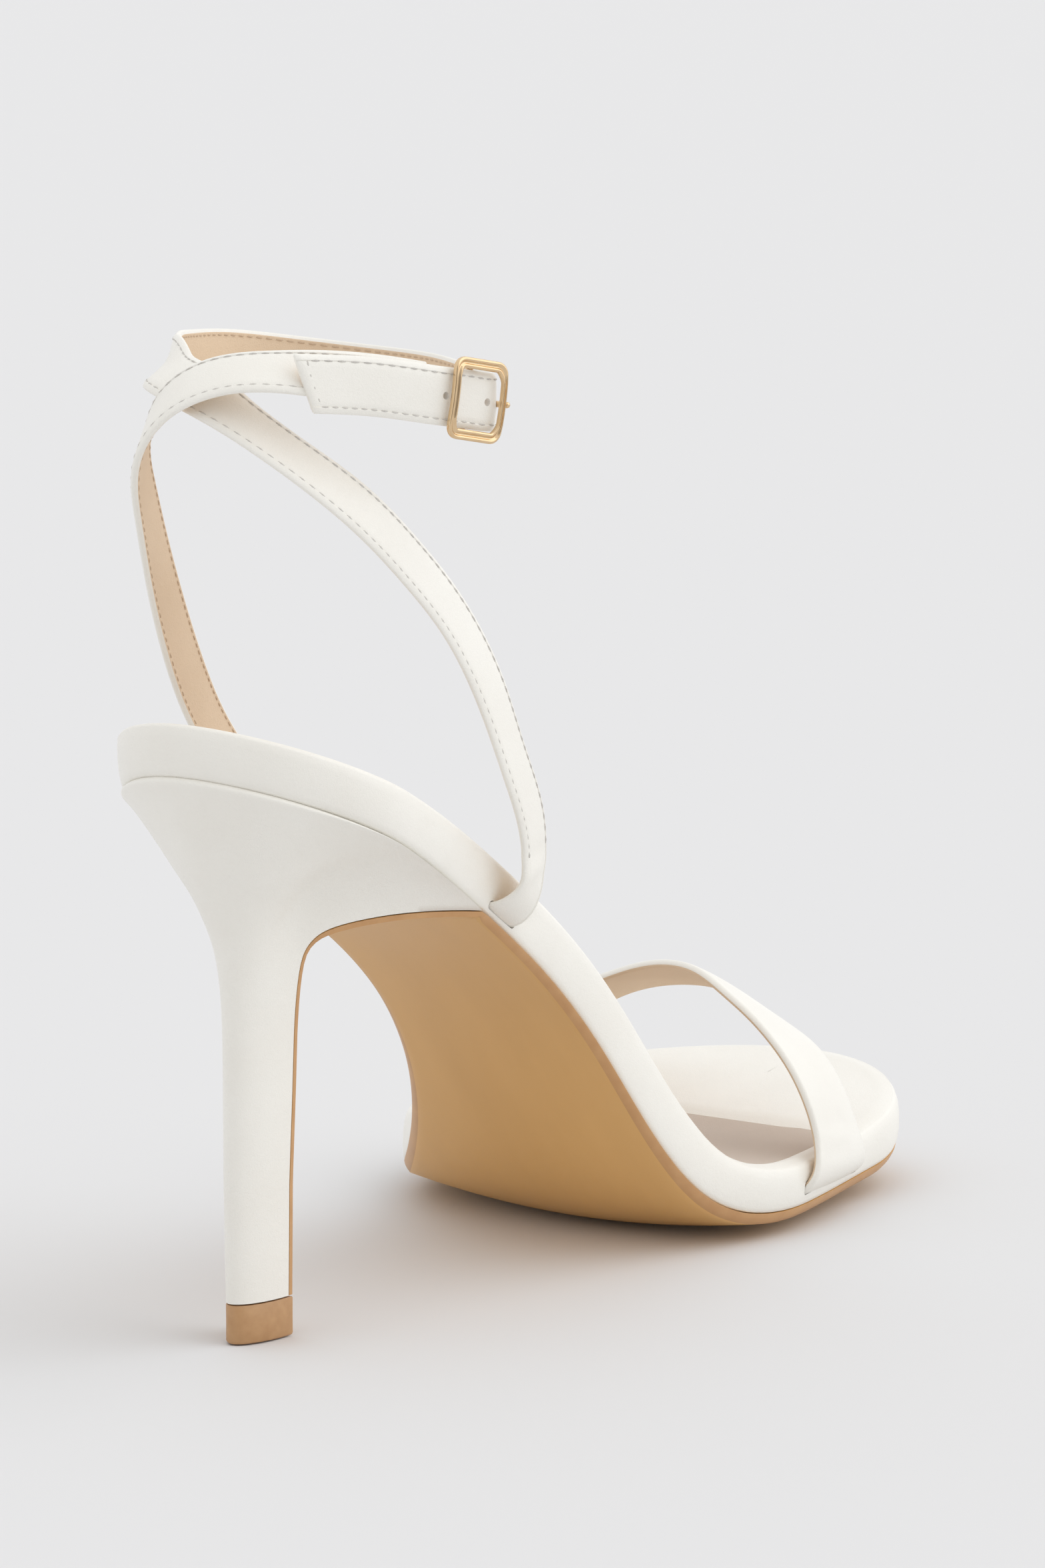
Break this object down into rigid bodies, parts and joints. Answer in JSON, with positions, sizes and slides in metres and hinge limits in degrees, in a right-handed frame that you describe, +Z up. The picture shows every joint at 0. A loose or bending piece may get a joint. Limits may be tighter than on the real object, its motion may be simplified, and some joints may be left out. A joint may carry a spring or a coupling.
{
  "type": "heeled sandal",
  "caption": "Right-foot stiletto sandal with a padded footbed, a toe strap, crossed ankle straps joined behind the heel and a side buckle.",
  "frame": {"origin": "on the floor, at the middle of the top piece under the heel", "axes": "+X to the toe, +Y to the inner (medial) side of the foot, +Z up"},
  "size_m": [0.2033, 0.0896, 0.1569],
  "materials": {
    "sole": "satin",
    "upper": "satin",
    "top_piece": "matte",
    "sock": "satin",
    "metal": "polished"
  },
  "bodies": {
    "root": {"outsole": "sole", "heel": "upper", "top_piece": "top_piece", "footbed": "upper", "insole": "sock", "toe_strap": "upper", "ankle_straps": "upper", "buckle": "metal", "prong": "metal"}
  },
  "joints": []
}
